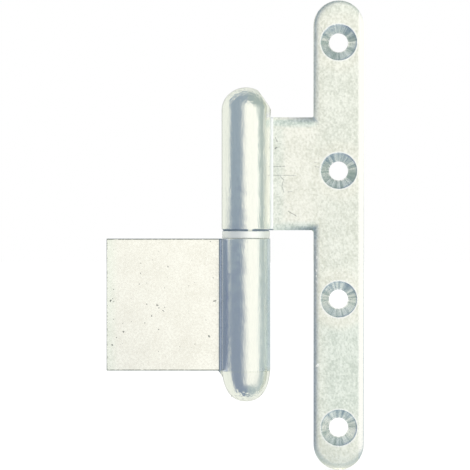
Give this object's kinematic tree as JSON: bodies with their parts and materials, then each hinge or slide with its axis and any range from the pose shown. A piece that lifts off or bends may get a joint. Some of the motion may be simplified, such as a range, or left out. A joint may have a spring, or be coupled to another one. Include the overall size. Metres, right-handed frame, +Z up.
{
  "type": "lift-off hinge",
  "caption": "Lift-off door hinge with bullet-ended knuckles on a fixed pin, a plain weld-on plate below and a strap above that ends in a long narrow strip with countersunk holes.",
  "frame": {"origin": "on the pin's axis, at the top of the lower knuckle where the bearing ring rests", "axes": "+Z up along the pin, +X towards the screwed leaf, +Y out of the back of both leaves"},
  "size_m": [0.0768, 0.0144, 0.14],
  "materials": {
    "zinc_leaf": "bright zinc plate",
    "weld_plate": "plain bright steel",
    "pin_steel": "ground",
    "ring_steel": "turned and plated"
  },
  "bodies": {
    "frame_half": {"weld_leaf": "weld_plate", "hinge_pin": "pin_steel"},
    "ring": {"bearing_ring": "ring_steel"},
    "door_half": {"screw_leaf": "zinc_leaf"}
  },
  "joints": [
    {"name": "swing", "type": "hinge", "parent": "frame_half", "child": "ring", "pos_m": [0, 0, 0], "axis": [0, 0, 1], "range_deg": [-180, 150]},
    {"name": "lift_off", "type": "slide", "parent": "ring", "child": "door_half", "axis": [0, 0, 1], "range_m": [0, 0.034]}
  ]
}
